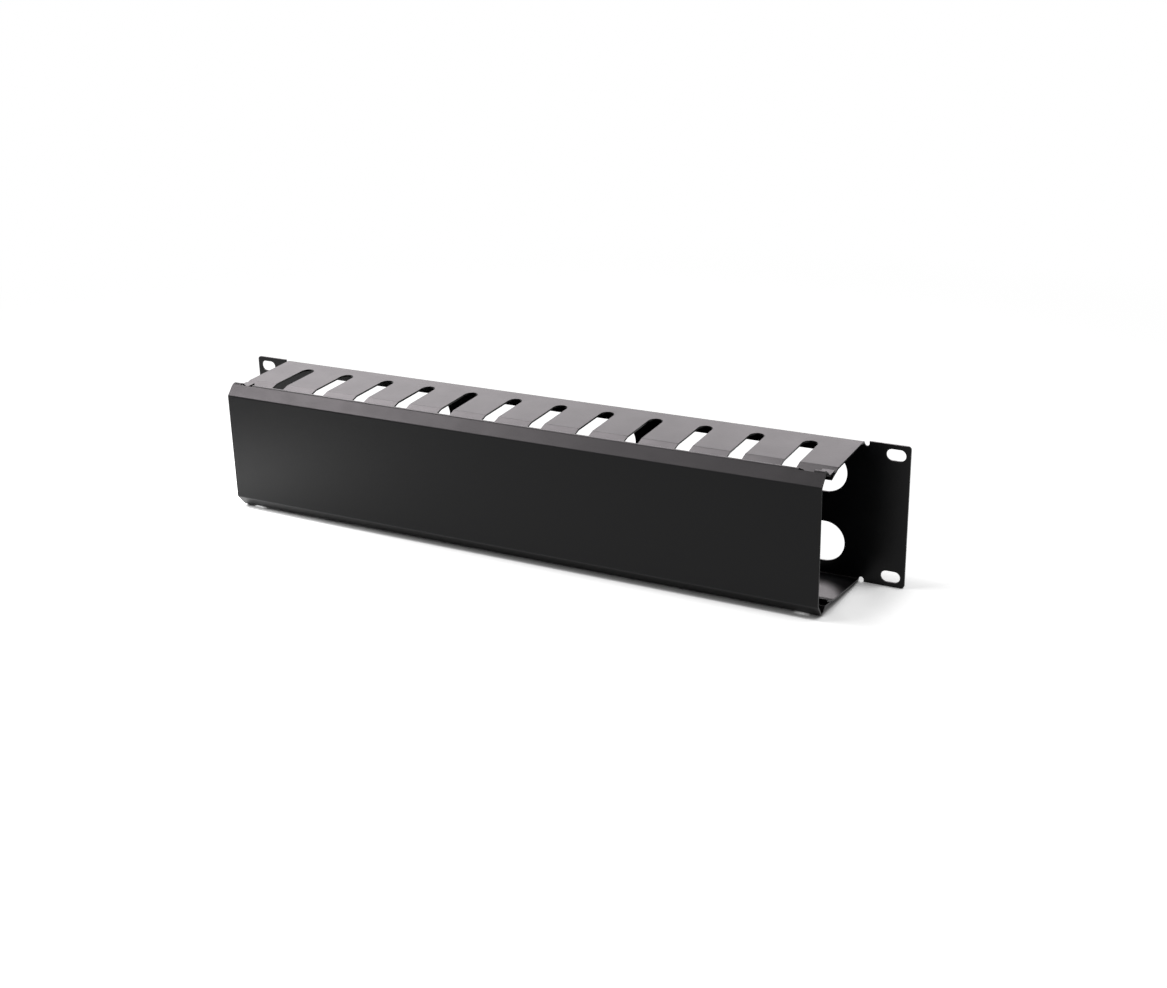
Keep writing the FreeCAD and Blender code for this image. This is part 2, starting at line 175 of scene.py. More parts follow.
def flat_at(line, radii, depth=None):
    """Distance along the flat blank from its middle to a depth y, or to its edge if none."""
    length = 0.0
    for i in range(len(line) - 1):
        (y0, z0), (y1, z1) = line[i], line[i + 1]
        leg = math.hypot(y1 - y0, z1 - z0)
        if depth is not None and y0 != y1 and min(y0, y1) <= depth <= max(y0, y1):
            return length + leg * (depth - y0) / (y1 - y0)
        length += leg
        if i + 1 < len(line) - 1:
            length -= fold_saving(radii[i + 1], fold_angle(line, i + 1))
    return length


def whole_section(half, radii):
    """A half section mirrored downwards: (points, fold radii) from the bottom to the top."""
    lower = [(y, -z) for y, z in half[:0:-1]]
    return lower + half[1:], radii[:0:-1] + radii[1:]


print("a right angle folded round 1.5 mm saves",
      round(fold_saving(1.5, math.pi / 2), 2), "mm of sheet")

# %% Sections of the channel and of the cover
channel_skin = [(0.0, 0.0), (0.0, HALF_HEIGHT), (-WALL_DEPTH, HALF_HEIGHT - WALL_DROP),
                (-LIP_DEPTH, HALF_HEIGHT - WALL_DROP - LIP_DROP)]
channel_half = upper_half(channel_skin, -CHANNEL_SHEET / 2, -CHANNEL_SHEET / 2)
channel_radii = [0.0, CHANNEL_BEND + CHANNEL_SHEET / 2, LIP_BEND + CHANNEL_SHEET / 2, 0.0]

cover_middle = -FACE_DEPTH + COVER_SHEET / 2
cover_skin = [(-FACE_DEPTH, 0.0), (-FACE_DEPTH, FACE_HEIGHT), (-CREST[0], CREST[1]),
              (-RETURN_END[0], RETURN_END[1])]
cover_half = upper_half(cover_skin, COVER_SHEET / 2, cover_middle)
cover_radii = [0.0] + [COVER_BEND + COVER_SHEET / 2] * 2 + [0.0]

tab_skin = cover_skin[:2] + [(-y, z) for y, z in (TAB_TIP, TAB_KNEE, TAB_FOOT)]
tab_half = upper_half(tab_skin, COVER_SHEET / 2, cover_middle)
tab_radii = [0.0] + [COVER_BEND + COVER_SHEET / 2] * 3 + [0.0]
for name, half, radii in (("channel", channel_half, channel_radii),
                          ("cover", cover_half, cover_radii), ("tabs", tab_half, tab_radii)):
    print(f"flat {name}: {2 * flat_at(half, radii):.2f} mm from edge to edge")

# %% [markdown]
# ## Helpers for nodes
#
# Node trees for shapes and for materials are built by one function. It adds a node, sets its
# properties, and fills each input with either a value or a link.


# %% Add a node
def add_node(tree, kind, inputs=None, **settings):
    """Add one node; inputs maps a socket's name or number to a value or to another socket."""
    new = tree.nodes.new(kind)
    for name, value in settings.items():
        setattr(new, name, value)
    for key, value in (inputs or {}).items():
        if isinstance(value, bpy.types.NodeSocket):
            tree.links.new(value, new.inputs[key])
        else:
            new.inputs[key].default_value = value
    return new


def shape_tree(name, sizes):
    """A Geometry Nodes tree with a Geometry input and output, and named inputs for its sizes."""
    tree = bpy.data.node_groups.new(name, "GeometryNodeTree")
    tree.interface.new_socket("Geometry", in_out="INPUT", socket_type="NodeSocketGeometry")
    for label, kind in sizes.items():
        tree.interface.new_socket(label, in_out="INPUT", socket_type="NodeSocket" + kind)
    tree.interface.new_socket("Geometry", in_out="OUTPUT", socket_type="NodeSocketGeometry")
    return tree, add_node(tree, "NodeGroupInput").outputs


def use_tree(thing, tree, **sizes):
    """Put a tree on an object, and set its inputs by their identifiers."""
    modifier = thing.modifiers.new(tree.name, "NODES")
    modifier.node_group = tree
    labels = {s.name.replace(" ", "_").lower(): s.identifier for s in tree.interface.items_tree
              if s.in_out == "INPUT"}
    for label, value in sizes.items():
        modifier[labels[label]] = value


print("node helpers made:", ", ".join(f.__name__ for f in (add_node, shape_tree, use_tree)))

# %% [markdown]
# ## Tooling
#
# Every slot and opening is a punch pressed through the flat sheet, usually the same punch many
# times at an even pitch. The first tree makes such a row. It takes an outline of straight lines,
# rounds each corner by the radius stored on that corner, sweeps it into a bar, turns the bar to
# point through the sheet, and places copies along X. A radius of half the width turns a plain
# rectangle into a slot with round ends, so one tree makes every tool here.

# %% Tree: a row of punches
punch_tree, given = shape_tree("row of punches", {
    "Count": "Int", "Pitch": "Float", "Bar length": "Float", "Arc steps": "Int"})
radius = add_node(punch_tree, "GeometryNodeInputNamedAttribute", {"Name": "fold_radius"},
                  data_type="FLOAT").outputs["Attribute"]
sharp = add_node(punch_tree, "GeometryNodeMeshToCurve", {0: given["Geometry"]}).outputs[0]
outline = add_node(punch_tree, "GeometryNodeFilletCurve",
                   {"Curve": sharp, "Count": given["Arc steps"], "Radius": radius},
                   mode="POLY").outputs[0]
end = add_node(punch_tree, "ShaderNodeCombineXYZ", {"Z": given["Bar length"]}).outputs[0]
path = add_node(punch_tree, "GeometryNodeCurvePrimitiveLine", {"End": end}).outputs[0]
bar = add_node(punch_tree, "GeometryNodeCurveToMesh",
               {"Curve": path, "Profile Curve": outline, "Fill Caps": True}).outputs[0]
half_bar = add_node(punch_tree, "ShaderNodeMath", {0: given["Bar length"], 1: 0.5},
                    operation="MULTIPLY").outputs[0]
centred = add_node(punch_tree, "ShaderNodeCombineXYZ", {"Y": half_bar}).outputs[0]
upright = add_node(punch_tree, "GeometryNodeTransform",
                   {"Geometry": bar, "Translation": centred,
                    "Rotation": (math.pi / 2, 0.0, 0.0)}).outputs[0]
step = add_node(punch_tree, "ShaderNodeCombineXYZ", {"X": given["Pitch"]}).outputs[0]
places = add_node(punch_tree, "GeometryNodeMeshLine",
                  {"Count": given["Count"], "Offset": step}).outputs[0]
row = add_node(punch_tree, "GeometryNodeInstanceOnPoints",
               {"Points": places, "Instance": upright}).outputs[0]
real = add_node(punch_tree, "GeometryNodeRealizeInstances", {"Geometry": row}).outputs[0]
tool_finish = add_node(punch_tree, "GeometryNodeSetMaterial", {"Geometry": real}).outputs[0]
add_node(punch_tree, "NodeGroupOutput", {"Geometry": tool_finish})
print("row of punches:", len(punch_tree.nodes), "nodes")


# %% Lines with a radius on each corner
def radius_line(name, points, radii, closed=False):
    """An object of straight edges through 3D points in mm, with a fold_radius on each point."""
    edges = [(i, i + 1) for i in range(len(points) - 1)] + [(len(points) - 1, 0)] * closed
    mesh = bpy.data.meshes.new(name)
    mesh.from_pydata([Vector(p) * MM for p in points], edges, [])
    attribute = mesh.attributes.new("fold_radius", "FLOAT", "POINT")
    for value, r in zip(attribute.data, radii):
        value.value = r * MM
    thing = bpy.data.objects.new(name, mesh)
    bpy.context.scene.collection.objects.link(thing)
    return thing


def punch(tooling, name, outline, radii, count=1, pitch=0.0, steps=12, bar=12.0):
    """A tool with this outline in (x, z) of the blank, repeated along X, kept in tooling."""
    area = sum(a[0] * b[1] - a[1] * b[0] for a, b in zip(outline, outline[1:] + outline[:1]))
    if area < 0:  # a clockwise outline would sweep into a bar that is inside out
        outline, radii = outline[::-1], radii[::-1]
    thing = radius_line(name, [(x, z, 0.0) for x, z in outline], radii, closed=True)
    bpy.context.scene.collection.objects.unlink(thing)
    tooling.objects.link(thing)
    use_tree(thing, punch_tree, count=count, pitch=pitch * MM, bar_length=bar * MM,
             arc_steps=steps)


def new_tooling(name):
    """A collection that keeps the tools of one sheet."""
    tooling = bpy.data.collections.new(name)
    bpy.context.scene.collection.children.link(tooling)
    return tooling


def round_end(width):
    """The radius of a round end: just under half the width, so that its two arcs stay apart."""
    return width / 2 * 0.9999


def slot_outline(x, z, length, width):
    """Corners and radii of a slot with round ends, lying along X."""
    a, b = length / 2, width / 2
    corners = [(x - a, z - b), (x + a, z - b), (x + a, z + b), (x - a, z + b)]
    return corners, [round_end(width)] * 4


print("a 10 x 7 mm slot has its corners at", slot_outline(0.0, 0.0, 10.0, 7.0)[0])

# %% [markdown]
# The channel's blank gets two rows of three long openings in the back, four rack slots in the
# ears, twelve finger slots along each edge, and its four corners cut away to leave the ears.
# The finger slots open at the edge, where the two corners of every finger are rounded: the
# punch flares out there with the same radius. Each corner cut ends in a small round-ended notch
# beside the wall, which keeps the steel from tearing where the wall folds and the ear doesn't.

# %% Punches for the channel
OUTSIDE = 0.02  # a cut along an edge lies this far outside it, so that no sliver is left
PUNCH_REACH = 5.0  # how far a punch reaches past the edge of the sheet
FLARE_SPARE = 1.0  # how much wider the mouth of a finger slot's punch is than its rounds need
channel_edge = flat_at(channel_half, channel_radii)
slot_start = flat_at(channel_half, channel_radii, -FINGER_SLOT_START)
channel_tooling = new_tooling("channel tooling")
past = channel_edge + PUNCH_REACH
for up in (1, -1):
    punch(channel_tooling, "opening punch",
          *slot_outline(-OPENING_PITCH, OPENING_ROW * up, OPENING_LENGTH, OPENING_HEIGHT),
          count=3, pitch=OPENING_PITCH, steps=24)
    punch(channel_tooling, "rack slot punch",
          *slot_outline(-rack_slots["spacing_x_mm"] / 2, rack_slots["spacing_y_mm"] / 2 * up,
                        rack_slots["slot_length_mm"], 2 * rack_slots["hole_r_mm"]),
          count=2, pitch=rack_slots["spacing_x_mm"], steps=16)
    x = -FINGER_PITCH * (FINGER_SLOTS - 1) / 2
    half = FINGER_SLOT_WIDTH / 2
    flare = half + FINGER_TIP + FLARE_SPARE
    mouth = channel_edge + OUTSIDE
    outline = [(x - half, slot_start), (x + half, slot_start), (x + half, mouth),
               (x + flare, mouth), (x + flare, past), (x - flare, past), (x - flare, mouth),
               (x - half, mouth)]
    root_round = round_end(FINGER_SLOT_WIDTH)
    punch(channel_tooling, "finger slot punch", [(a, b * up) for a, b in outline],
          [root_round, root_round, FINGER_TIP, 0.0, 0.0, 0.0, 0.0, FINGER_TIP],
          count=FINGER_SLOTS, pitch=FINGER_PITCH, steps=14)
    for side in (1, -1):
        root, tip = CHANNEL_WIDTH / 2, PANEL_WIDTH / 2 + OUTSIDE
        notch, below = HALF_HEIGHT - NOTCH_DEPTH, HALF_HEIGHT - 3 * EAR_CORNER
        outline = [(root, past), (root, notch), (root + NOTCH_WIDTH, notch),
                   (root + NOTCH_WIDTH, HALF_HEIGHT), (tip, HALF_HEIGHT), (tip, below),
                   (tip + PUNCH_REACH, below), (tip + PUNCH_REACH, past)]
        notch_round = round_end(NOTCH_WIDTH)
        punch(channel_tooling, "corner cut", [(a * side, b * up) for a, b in outline],
              [0.0, notch_round, notch_round, 0.0, EAR_CORNER, 0.0, 0.0, 0.0])

# %% [markdown]
# The cover's blank is a plain strip, cut in along both long edges. The long return stops short
# of each end, then comes a notch, then a narrow tab that is folded more steeply than the return.
# Being free on both sides, the tab can flex and grip the channel. After folding, the four
# corners of the cover are ground round.

# %% Punches for the cover
cover_tooling = new_tooling("cover tooling")
corner_tooling = new_tooling("cover corners")
return_edge = flat_at(cover_half, cover_radii)
tab_edge = flat_at(tab_half, tab_radii)
notch_at = flat_at(cover_half, cover_radii, -(CREST[0] + COVER_SHEET / 2))
past = tab_edge + PUNCH_REACH
for up in (1, -1):
    outline = [(-TAB_START, past), (-TAB_START, notch_at), (-RETURN_STOP, notch_at),
               (-RETURN_STOP, return_edge), (RETURN_STOP, return_edge), (RETURN_STOP, notch_at),
               (TAB_START, notch_at), (TAB_START, past)]
    punch(cover_tooling, "return cut", [(a, b * up) for a, b in outline], [0.0] * 8)
    for side in (1, -1):
        tip, top = COVER_END + OUTSIDE, TAB_TIP[1] + OUTSIDE
        inner, outer = 2 * COVER_CORNER, PUNCH_REACH
        outline = [(tip - inner, top), (tip, top), (tip, top - inner), (tip + outer, top - inner),
                   (tip + outer, top + outer), (tip - inner, top + outer)]
        punch(corner_tooling, "corner round", [(a * side, b * up) for a, b in outline],
              [0.0, COVER_CORNER, 0.0, 0.0, 0.0, 0.0], bar=3 * FACE_DEPTH)

# %% [markdown]
# ## Punch flat, then fold
#
# This tree is the press shop. The object it sits on is the sharp section line. Fillet Curve
# rounds the folds to their true radii. The same line is then pulled straight, each point moved
# to its own length along it, so the flat sheet swept from it has a crease wherever the folded
# one needs to bend. The tooling is cut out of the flat sheet, where every cut is square and
# clean. Last, Sample Curve tells where each point of the blank lies on the folded line, and Set
# Position carries it there, with the thickness standing out along the line's normal.
#
# Three helpers hold the parts that the tree needs more than once.


# %% Parts of the fold tree
def rounded_line(tree, line, steps):
    """The folded line, its total length, and the same line pulled straight along Z."""
    stored = add_node(tree, "GeometryNodeInputNamedAttribute", {"Name": "fold_radius"},
                      data_type="FLOAT").outputs["Attribute"]
    curve = add_node(tree, "GeometryNodeMeshToCurve", {0: line}).outputs[0]
    folded = add_node(tree, "GeometryNodeFilletCurve",
                      {"Curve": curve, "Count": steps, "Radius": stored}, mode="POLY").outputs[0]
    total = add_node(tree, "GeometryNodeCurveLength", {"Curve": folded}).outputs[0]
    along = add_node(tree, "GeometryNodeSplineParameter").outputs["Length"]
    height = add_node(tree, "ShaderNodeMath", {0: total, 1: -0.5, 2: along},
                      operation="MULTIPLY_ADD").outputs[0]
    straight = add_node(tree, "ShaderNodeCombineXYZ", {"Z": height}).outputs[0]
    flat = add_node(tree, "GeometryNodeSetPosition",
                    {"Geometry": folded, "Position": straight}).outputs[0]
    return folded, total, flat


def folded_place(tree, folded, total, place):
    """Where a point (x, thickness, height) of the blank goes when it is folded along a line."""
    length = add_node(tree, "ShaderNodeMath", {0: total, 1: 0.5, 2: place["Z"]},
                      operation="MULTIPLY_ADD").outputs[0]
    sample = add_node(tree, "GeometryNodeSampleCurve", {"Curves": folded, "Length": length},
                      mode="LENGTH").outputs
    across = add_node(tree, "ShaderNodeVectorMath",
                      {0: sample["Tangent"], 1: (1.0, 0.0, 0.0)},
                      operation="CROSS_PRODUCT").outputs[0]
    out = add_node(tree, "ShaderNodeVectorMath", {0: across, "Scale": place["Y"]},
                   operation="SCALE").outputs[0]
    on_sheet = add_node(tree, "ShaderNodeVectorMath", {0: sample["Position"], 1: out},
                        operation="ADD").outputs[0]
    sideways = add_node(tree, "ShaderNodeCombineXYZ", {"X": place["X"]}).outputs[0]
    return add_node(tree, "ShaderNodeVectorMath", {0: on_sheet, 1: sideways},
                    operation="ADD").outputs[0]


def cut_away(tree, solid, tooling):
    """Everything that the objects of a collection cover is cut out of a solid."""
    tools = add_node(tree, "GeometryNodeCollectionInfo", {"Collection": tooling}).outputs[0]
    loose = add_node(tree, "GeometryNodeRealizeInstances", {"Geometry": tools}).outputs[0]
    return add_node(tree, "GeometryNodeMeshBoolean", {"Mesh 1": solid, "Mesh 2": loose},
                    operation="DIFFERENCE", solver="MANIFOLD").outputs[0]


print("fold helpers made:", ", ".join(f.__name__ for f in (rounded_line, folded_place, cut_away)))

# %% [markdown]
# The first half of the tree makes the blank and punches it. The cover needs a second line,
# because its end tabs fold differently from its middle, so the blank gets the creases of both:
# the points of the two straight lines are joined, and those that fall together are merged.

# %% Tree: cut the blank and punch it
SAME_CREASE, SAME_CORNER = 0.02, 0.01  # mm within which creases and corners are one
sheet_tree, given = shape_tree("punch and fold", {
    "Width": "Float", "Sheet": "Float", "Arc steps": "Int", "Tooling": "Collection",
    "End line": "Object", "End start": "Float", "Trimming": "Collection", "Trim": "Bool",
    "Coat": "Material"})
main_line = rounded_line(sheet_tree, given["Geometry"], given["Arc steps"])
end_object = add_node(sheet_tree, "GeometryNodeObjectInfo", {"Object": given["End line"]})
end_line = rounded_line(sheet_tree, end_object.outputs["Geometry"], given["Arc steps"])
both = add_node(sheet_tree, "GeometryNodeJoinGeometry", {"Geometry": main_line[2]})
sheet_tree.links.new(end_line[2], both.inputs[0])
creases = add_node(sheet_tree, "GeometryNodeCurveToPoints", {"Curve": both.outputs[0]},
                   mode="EVALUATED").outputs[0]
single = add_node(sheet_tree, "GeometryNodeMergeByDistance",
                  {"Geometry": creases, "Distance": SAME_CREASE * MM}).outputs[0]
where = add_node(sheet_tree, "ShaderNodeSeparateXYZ",
                 {0: add_node(sheet_tree, "GeometryNodeInputPosition").outputs[0]}).outputs
edge_line = add_node(sheet_tree, "GeometryNodePointsToCurves",
                     {"Points": single, "Weight": where["Z"]}).outputs[0]
section = add_node(sheet_tree, "GeometryNodeCurvePrimitiveQuadrilateral",
                   {"Width": given["Width"], "Height": given["Sheet"]}).outputs[0]
blank = add_node(sheet_tree, "GeometryNodeCurveToMesh",
                 {"Curve": edge_line, "Profile Curve": section, "Fill Caps": True}).outputs[0]
punched = cut_away(sheet_tree, blank, given["Tooling"])
print("blank and punching:", len(sheet_tree.nodes), "nodes")

# %% [markdown]
# The second half folds. Each point of the punched blank goes to its place on the main line, or
# on the end line if it lies further out than End start. The cover is trimmed once more after
# folding, because its corners are ground round on the finished piece.

# %% Tree: fold the sheet, trim it and coat it
x_size = add_node(sheet_tree, "ShaderNodeMath", {0: where["X"]}, operation="ABSOLUTE").outputs[0]
at_end = add_node(sheet_tree, "ShaderNodeMath", {0: x_size, 1: given["End start"]},
                  operation="GREATER_THAN").outputs[0]
middle_place = folded_place(sheet_tree, *main_line[:2], where)
end_place = folded_place(sheet_tree, *end_line[:2], where)
target = add_node(sheet_tree, "GeometryNodeSwitch",
                  {"Switch": at_end, "False": middle_place, "True": end_place},
                  input_type="VECTOR").outputs[0]
clean = add_node(sheet_tree, "GeometryNodeMergeByDistance",
                 {"Geometry": punched, "Distance": SAME_CORNER * MM}).outputs[0]
folded_sheet = add_node(sheet_tree, "GeometryNodeSetPosition",
                        {"Geometry": clean, "Position": target}).outputs[0]
trimmed = cut_away(sheet_tree, folded_sheet, given["Trimming"])
chosen = add_node(sheet_tree, "GeometryNodeSwitch",
                  {"Switch": given["Trim"], "False": folded_sheet, "True": trimmed},
                  input_type="GEOMETRY").outputs[0]
real = add_node(sheet_tree, "GeometryNodeRealizeInstances", {"Geometry": chosen}).outputs[0]
coated = add_node(sheet_tree, "GeometryNodeSetMaterial",
                  {"Geometry": real, "Material": given["Coat"]}).outputs[0]
add_node(sheet_tree, "NodeGroupOutput", {"Geometry": coated})
print("punch and fold:", len(sheet_tree.nodes), "nodes")

# %% [markdown]
# ## The powder coat
#
# Both sheets are sprayed with dry polyester powder, charged so that it clings to the steel, and
# baked until it melts into a skin about 0.08 mm thick. Baked powder never levels quite as flat
# as wet paint: it has a soft, shallow orange peel, 1 to 2 mm from crest to crest and only a few
# thousandths of a millimetre high, and a fine grain on top of that. It is a plastic skin and
# not bare metal, so metallic is 0, the index of refraction is that of resin, and a satin
# roughness spreads the reflections of the room into wide pale bands.


# %% Colour and coat
def linear(code):
    """An sRGB hex colour such as "#1a1a1b" as the linear values that Blender's sockets want."""
    channels = [int(code[i:i + 2], 16) / 255 for i in (1, 3, 5)]
    return [c / 12.92 if c <= 0.04045 else ((c + 0.055) / 1.055) ** 2.4 for c in channels] + [1.0]


PEEL_WIDTH, PEEL_HEIGHT = 1.6, 0.012  # mm, the orange peel
GRAIN_WIDTH, GRAIN_HEIGHT = 0.5, 0.006  # mm, the fine grain on it
CLOUD_WIDTH, CLOUD_SHARE = 14.0, 0.02  # mm, and how far the satin varies from cloud to cloud
NOISE_LOW, NOISE_HIGH = 0.3, 0.7  # nearly all of a noise texture lies between these
RESIN_IOR = 1.27  # polyester is about 1.5; this coat mirrors the white table more faintly


def powder_coat(name, colour, roughness):
    """Baked powder: a clear plastic skin over a black one, satin, with peel and grain."""
    material = bpy.data.materials.new(name)
    material.use_nodes = True
    tree = material.node_tree
    tree.nodes.clear()
    place = add_node(tree, "ShaderNodeTexCoord").outputs["Object"]
    peel = add_node(tree, "ShaderNodeTexNoise",
                    {"Vector": place, "Scale": 1 / (PEEL_WIDTH * MM), "Detail": 1.0}).outputs[0]
    grain = add_node(tree, "ShaderNodeTexNoise",
                     {"Vector": place, "Scale": 1 / (GRAIN_WIDTH * MM), "Detail": 2.0}).outputs[0]
    cloud = add_node(tree, "ShaderNodeTexNoise",
                     {"Vector": place, "Scale": 1 / (CLOUD_WIDTH * MM), "Detail": 3.0}).outputs[0]
    soft = add_node(tree, "ShaderNodeBump",
                    {"Height": peel, "Strength": 1.0, "Distance": PEEL_HEIGHT * MM}).outputs[0]
    fine = add_node(tree, "ShaderNodeBump",
                    {"Height": grain, "Strength": 1.0, "Distance": GRAIN_HEIGHT * MM,
                     "Normal": soft}).outputs[0]
    shine = add_node(tree, "ShaderNodeMapRange",
                     {"Value": cloud, "From Min": NOISE_LOW, "From Max": NOISE_HIGH,
                      "To Min": roughness - CLOUD_SHARE,
                      "To Max": roughness + CLOUD_SHARE}).outputs[0]
    skin = add_node(tree, "ShaderNodeBsdfPrincipled",
                    {"Base Color": linear(colour), "Metallic": 0.0, "IOR": RESIN_IOR,
                     "Roughness": shine, "Normal": fine}).outputs[0]
    add_node(tree, "ShaderNodeOutputMaterial", {"Surface": skin})
    return material


CARBON_BLACK, SATIN = "#070708", 0.30
channel_coat = powder_coat("satin black powder coat on the channel", CARBON_BLACK, SATIN)
cover_coat = powder_coat("satin black powder coat on the cover", CARBON_BLACK, SATIN)
print("coats:", channel_coat.name, "and", cover_coat.name,
      "in linear", [round(c, 4) for c in linear(CARBON_BLACK)[:3]])

# %% [markdown]
# ## Press the two sheets
#
# Each section line gets the fold tree, and the evaluated result is copied out as a plain mesh.
# The line and its tooling are then taken away. A punched edge is sharp, but powder draws back
# from it and bakes into a small round, which is what makes the edges of the real piece show as
# fine light lines. A narrow Bevel rounds only the edges sharper than a fold's own facets, and
# Weighted Normal keeps the big flat faces looking flat right up to that round.


# %% Make one piece from its section
COAT_ROUND = 0.22  # mm, the round that the coat bakes into along a punched edge
SHARP_EDGE = 40  # degrees, more than one facet of a fold turns


def plain_mesh(thing, name):
    """The evaluated object as a mesh of its own."""
    graph = bpy.context.evaluated_depsgraph_get()
    mesh = bpy.data.meshes.new_from_object(thing.evaluated_get(graph), depsgraph=graph)
    mesh.name = name
    return mesh


def press(name, half, radii, width, sheet, tooling, end_half, end_radii, end_start, trimming,
          coat):
    """Punch and fold one sheet, and return it as a finished piece."""
    points, folds = whole_section(half, radii)
    line = radius_line(name + " section", [(0.0, y, z) for y, z in points], folds)
    points, folds = whole_section(end_half, end_radii)
    end_line = radius_line(name + " end section", [(0.0, y, z) for y, z in points], folds)
    use_tree(line, sheet_tree, width=width * MM, sheet=sheet * MM, arc_steps=8, tooling=tooling,
             end_line=end_line, end_start=end_start * MM, trimming=trimming or tooling,
             trim=trimming is not None, coat=coat)
    mesh = plain_mesh(line, name)
    mesh.shade_smooth()
    piece = bpy.data.objects.new(name, mesh)
    bpy.context.scene.collection.objects.link(piece)
    for helper in (line, end_line):
        bpy.data.objects.remove(helper)
    round_off = piece.modifiers.new("rounded by the coat", "BEVEL")
    round_off.width = COAT_ROUND * MM
    round_off.segments = 2
    round_off.limit_method = "ANGLE"
    round_off.angle_limit = math.radians(SHARP_EDGE)
    flat_faces = piece.modifiers.new("flat faces stay flat", "WEIGHTED_NORMAL")
    flat_faces.mode = "FACE_AREA"
    flat_faces.weight = 100
    return piece


def put_away(tooling):
    """Remove a collection of tools, because only the pieces are kept."""
    for tool in list(tooling.objects):
        bpy.data.objects.remove(tool)
    bpy.data.collections.remove(tooling)


print(f"edges sharper than {SHARP_EDGE} degrees get a round of {COAT_ROUND} mm")

# %% Press the channel and the cover
flat_ear = [(-CHANNEL_SHEET / 2, 0.0), (-CHANNEL_SHEET / 2, channel_edge)]
in_the_notch = CHANNEL_WIDTH / 2 + NOTCH_WIDTH / 4
channel = press("finger_channel", channel_half, channel_radii, PANEL_WIDTH, CHANNEL_SHEET,
                channel_tooling, flat_ear, [0.0, 0.0], in_the_notch, None, channel_coat)
just_inside_the_tab = TAB_START - SAME_CORNER
cover = press("clip_on_cover", cover_half, cover_radii, 2 * COVER_END, COVER_SHEET,
              cover_tooling, tab_half, tab_radii, just_inside_the_tab, corner_tooling, cover_coat)
for tooling in (channel_tooling, cover_tooling, corner_tooling):
    put_away(tooling)
for piece in (channel, cover):
    print(piece.name, len(piece.data.polygons), "faces",
          [round(d / MM, 2) for d in piece.dimensions], "mm")

# %% [markdown]
# ## Ride on the model's bodies
#
# The cover comes off to lay cables in, so it rides on the body that slides, and the channel on
# the one that stays. Each piece replaces the plain node that it was measured from.

# %% Tie the pieces to the model
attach(channel, "channel")
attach(cover, "cover")
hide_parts("base_channel")
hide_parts("front_cover")
print("tied:", channel.name, "to the channel,", cover.name, "to the cover")

# %% [markdown]
# ## Table and room
#
# The manager stands on a matt white laminate table in a white room. Such a table gives the eye
# no gloss and no grain, only a narrow soft shade where the steel stands on it or hangs just
# above it. A white made by strong lamps would bleach the steel as well. So the table and the
# room glow by themselves, but only for rays that show them: those of the camera, and the glossy
# and transmission ones that carry reflections. For all other rays they stay dim. Ambient
# Occlusion tells how much of the sky above a point of the table is covered, and turns the glow
# down there. This paints the shade under the cover and the ears into the table; no lamp casts
# it. It is asked twice: within a short reach for the narrow painted shade next to the steel, and
# within a long one because the table under a notch in the bottom has no steel close above it,
# and is still inside the channel.


# %% Table and room materials
ROOM_LIGHT = 0.30  # how bright the white room is where it lights the steel
# How far the steel may be, in mm, and how open the sky is in full painted shade and in none.
NEXT_TO_STEEL = (22.0, 0.22, 0.72)
INSIDE_STEEL = (400.0, 0.3, 0.48)


def seen_ray(tree):
    """1 for rays that show something (camera, glossy, transmission), 0 for rays that light it."""
    rays = add_node(tree, "ShaderNodeLightPath").outputs
    seen = rays["Is Camera Ray"]
    for kind in ("Is Glossy Ray", "Is Transmission Ray"):
        seen = add_node(tree, "ShaderNodeMath", {0: seen, 1: rays[kind]},
                        operation="MAXIMUM").outputs[0]
    return seen


def product(tree, first, second):
    """Two values multiplied."""
    return add_node(tree, "ShaderNodeMath", {0: first, 1: second}, operation="MULTIPLY").outputs[0]


def room_glow(tree, seen):
    """White where it is seen, and dim where it lights."""
    return add_node(tree, "ShaderNodeMapRange",
                    {"Value": seen, "To Min": ROOM_LIGHT, "To Max": 1.0}).outputs[0]


def laminate_with_painted_shade(glow, near, far):
    """Matt white laminate with painted shade where the steel covers it; it fades into the white
    room between two distances in metres.
    """
    material = bpy.data.materials.new("matt white laminate")
    material.use_nodes = True
    tree = material.node_tree
    tree.nodes.clear()
    seen = seen_ray(tree)
    strength = product(tree, seen, glow)
    # The glow dimmed here by Ambient Occlusion is painted shade: the contact shadow next to and
    # under the steel.
    for reach, dark, clear in (NEXT_TO_STEEL, INSIDE_STEEL):
        open_sky = add_node(tree, "ShaderNodeAmbientOcclusion",
                            {"Distance": reach * MM}).outputs["AO"]
        uncovered = add_node(tree, "ShaderNodeMapRange",
                             {"Value": open_sky, "From Min": dark, "From Max": clear}).outputs[0]
        strength = product(tree, strength, uncovered)
    paper = add_node(tree, "ShaderNodeBsdfDiffuse", {"Color": linear("#f8f8f8")}).outputs[0]
    shine = add_node(tree, "ShaderNodeEmission", {"Strength": strength}).outputs[0]
    lit = add_node(tree, "ShaderNodeAddShader", {0: paper, 1: shine}).outputs[0]
    distant = add_node(tree, "ShaderNodeEmission",
                       {"Strength": room_glow(tree, seen)}).outputs[0]
    place = add_node(tree, "ShaderNodeTexCoord").outputs["Object"]
    distance = add_node(tree, "ShaderNodeVectorMath", {0: place},
                        operation="LENGTH").outputs["Value"]
    fade = add_node(tree, "ShaderNodeMapRange",
                    {"Value": distance, "From Min": near, "From Max": far},
                    interpolation_type="SMOOTHSTEP").outputs[0]
    top = add_node(tree, "ShaderNodeMixShader", {0: fade, 1: lit, 2: distant}).outputs[0]
    add_node(tree, "ShaderNodeOutputMaterial", {"Surface": top})
    return material


laminate = laminate_with_painted_shade(glow=0.56, near=0.45, far=1.0)
print(laminate.name + ":", len(laminate.node_tree.nodes), "nodes")

